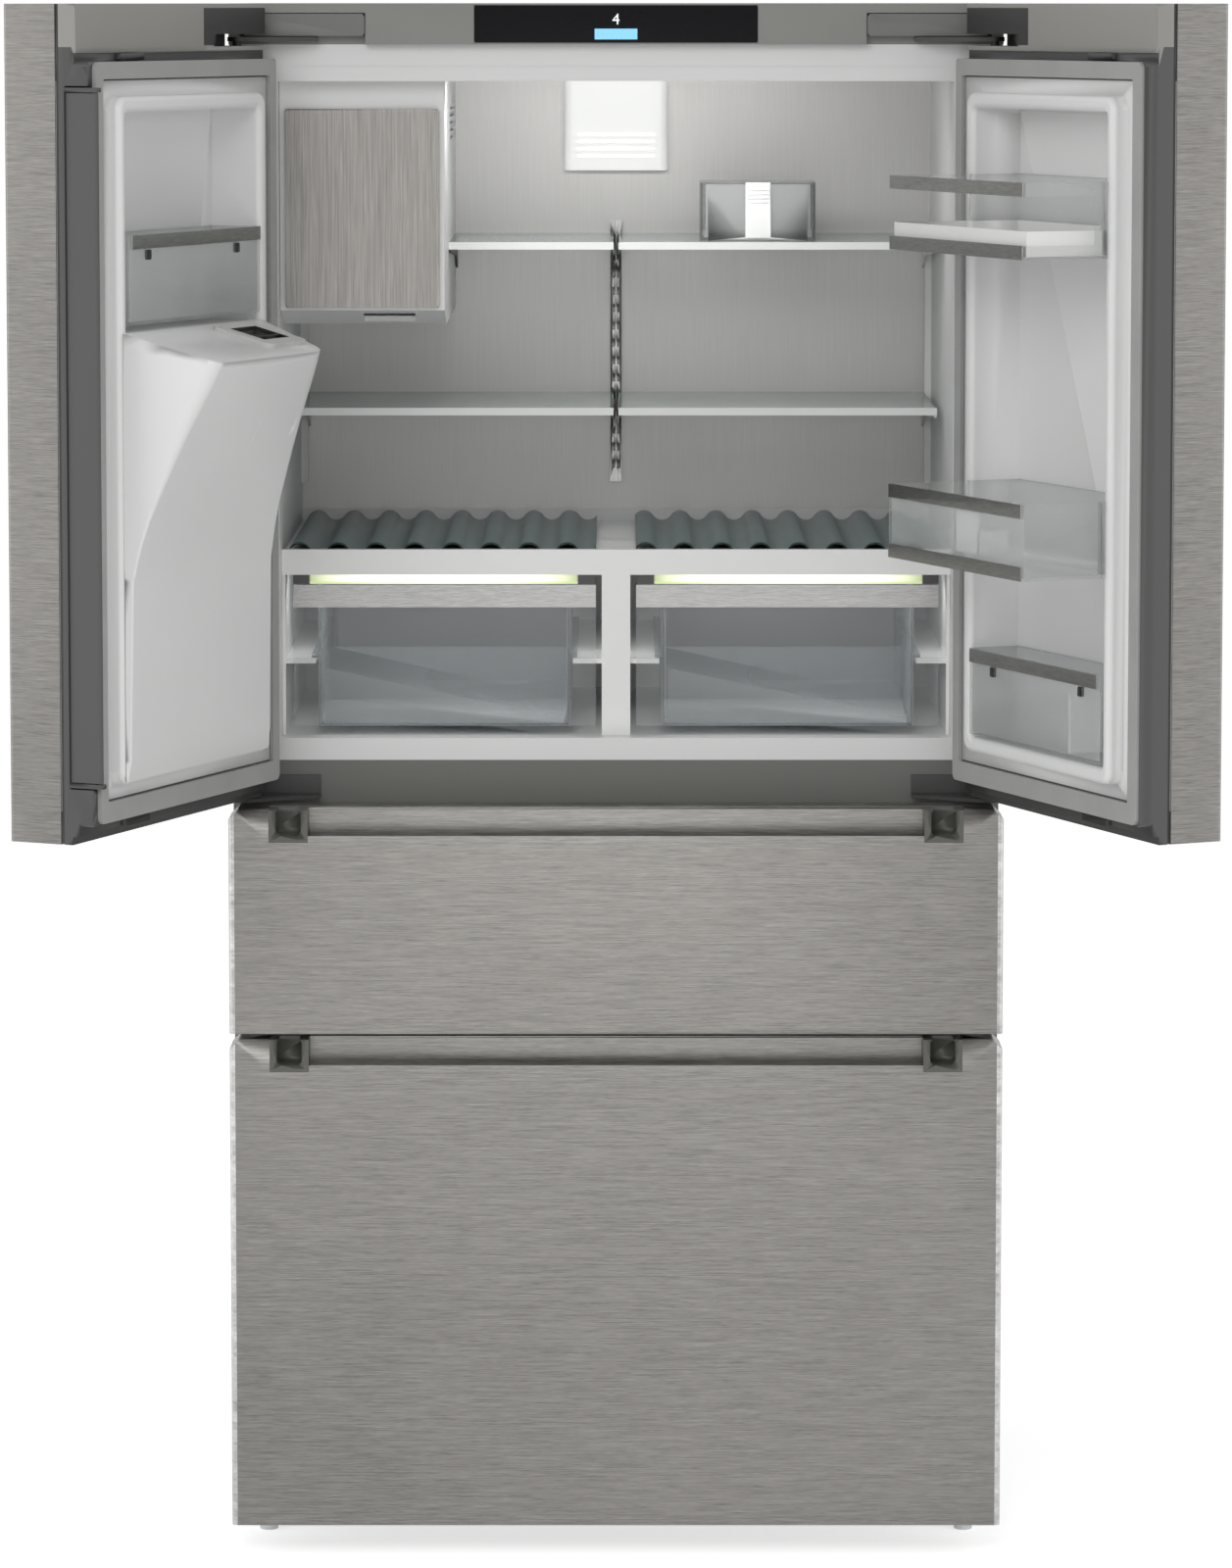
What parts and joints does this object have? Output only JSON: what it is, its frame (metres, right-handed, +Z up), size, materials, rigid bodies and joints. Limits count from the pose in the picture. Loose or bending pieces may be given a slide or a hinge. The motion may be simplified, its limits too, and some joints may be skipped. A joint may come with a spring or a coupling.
{
  "type": "fridge freezer",
  "caption": "Free-standing fridge freezer with two hinged fridge doors shown open above two freezer drawers, brushed steel fronts, white inside.",
  "frame": {"origin": "centre of the footprint with both doors open, on the floor", "axes": "+Z up, +X to the right seen from the front, the fronts face -Y"},
  "size_m": [1.3508, 1.1052, 1.83],
  "materials": {
    "casing": "satin grey",
    "steel": "horizontal brushing",
    "grey_plastic": "fine matt",
    "grip_plastic": "dark matt",
    "liner": "smooth white",
    "clear": "clear moulding",
    "glass": "clear with green edges",
    "seal": "soft grey",
    "foam": "open foam",
    "black_glass": "polished black",
    "zinc": "zinc grey",
    "dark_metal": "dark satin",
    "trim": "pale trim",
    "mat": "teal, translucent",
    "light": "light diffuser",
    "black_metal": "black enamel",
    "black_plastic": "black"
  },
  "bodies": {
    "root": {"cabinet_casing": "casing", "insulation": "foam", "fridge_liner": "liner", "freezer_liner": "liner", "cross_rail": "casing", "top_fascia": "casing", "display_panel": "black_glass", "door_hinges": "zinc", "back_panel": "zinc", "base_frame": "zinc", "feet": "black_plastic", "compressor": "black_metal", "condenser": "dark_metal", "fan_motor": "zinc", "rear_cover": "zinc", "power_inlet": "black_plastic", "shelf_supports": "dark_metal", "glass_shelves": "glass", "shelf_trims": "trim", "air_duct_cover": "liner", "divider_frame": "liner", "bottle_mats": "mat", "led_strips": "light", "ice_maker_housing": "liner", "covered_dish": "clear", "fixed_runners": "zinc"},
    "rear_rollers": {"rear_rollers": "black_plastic"},
    "condenser_fan": {"condenser_fan": "black_plastic"},
    "left_fresh": {"left_fresh_drawer": "clear"},
    "right_fresh": {"right_fresh_drawer": "clear"},
    "ice_bin": {"ice_bin": "steel"},
    "left_door": {"left_door_shell": "steel", "left_door_frame": "grey_plastic", "left_door_gasket": "seal", "left_door_liner": "liner", "chute_housing": "liner", "chute_collar": "seal", "dispenser_niche": "grey_plastic", "left_door_rack": "clear"},
    "mullion": {"mullion_flap": "grey_plastic"},
    "paddle": {"dispenser_paddle": "black_plastic"},
    "right_door": {"right_door_shell": "steel", "right_door_frame": "grey_plastic", "right_door_gasket": "seal", "right_door_liner": "liner", "upper_right_rack": "clear", "middle_right_rack": "clear", "lower_right_rack": "clear"},
    "upper_drawer": {"upper_drawer_front": "steel", "upper_drawer_grip": "steel", "upper_drawer_panel": "liner", "upper_drawer_gasket": "seal", "upper_basket": "clear"},
    "lower_drawer": {"lower_drawer_front": "steel", "lower_drawer_grip": "steel", "lower_drawer_panel": "liner", "lower_drawer_gasket": "seal", "lower_basket": "clear"},
    "upper_runners": {"upper_middle_runners": "zinc"},
    "lower_runners": {"lower_middle_runners": "zinc"}
  },
  "joints": [
    {"name": "left_door_hinge", "type": "hinge", "parent": "root", "child": "left_door", "pos_m": [-0.4425, -0.115, 1.36], "axis": [0, 0, -1], "range_deg": [-114, 0]},
    {"name": "right_door_hinge", "type": "hinge", "parent": "root", "child": "right_door", "pos_m": [0.4425, -0.115, 1.36], "axis": [0, 0, 1], "range_deg": [-114, 0]},
    {"name": "mullion_fold", "type": "hinge", "parent": "left_door", "child": "mullion", "pos_m": [-0.57122, -0.53441, 1.35], "axis": [0, 0, -1], "range_deg": [-90.01, 0]},
    {"name": "upper_drawer_slide", "type": "slide", "parent": "root", "child": "upper_drawer", "axis": [0, -1, 0], "range_m": [0, 0.4]},
    {"name": "lower_drawer_slide", "type": "slide", "parent": "root", "child": "lower_drawer", "axis": [0, -1, 0], "range_m": [0, 0.4]},
    {"name": "upper_runner_slide", "type": "slide", "parent": "root", "child": "upper_runners", "axis": [0, -1, 0], "range_m": [0, 0.2001]},
    {"name": "lower_runner_slide", "type": "slide", "parent": "root", "child": "lower_runners", "axis": [0, -1, 0], "range_m": [0, 0.2001]},
    {"name": "left_fresh_slide", "type": "slide", "parent": "root", "child": "left_fresh", "axis": [0, -1, 0], "range_m": [0, 0.32]},
    {"name": "right_fresh_slide", "type": "slide", "parent": "root", "child": "right_fresh", "axis": [0, -1, 0], "range_m": [0, 0.32]},
    {"name": "ice_bin_slide", "type": "slide", "parent": "root", "child": "ice_bin", "axis": [0, -1, 0], "range_m": [0, 0.36]},
    {"name": "paddle_swing", "type": "hinge", "parent": "left_door", "child": "paddle", "pos_m": [-0.50556, -0.2763, 1.275], "axis": [-0.4067, -0.9135, 0], "range_deg": [0, 8], "stiffness_Nm_per_rad": 0.05},
    {"name": "roller_spin", "type": "hinge", "parent": "root", "child": "rear_rollers", "pos_m": [0, 0.48, 0.024], "axis": [1, 0, 0], "continuous": true},
    {"name": "fan_spin", "type": "hinge", "parent": "root", "child": "condenser_fan", "pos_m": [-0.02, 0.435, 0.13], "axis": [1, 0, 0], "continuous": true}
  ],
  "couplings": [
    {"joint": "mullion_fold", "follows": "left_door_hinge", "ratio": 0.78947},
    {"joint": "upper_runner_slide", "follows": "upper_drawer_slide", "ratio": 0.5},
    {"joint": "lower_runner_slide", "follows": "lower_drawer_slide", "ratio": 0.5}
  ]
}
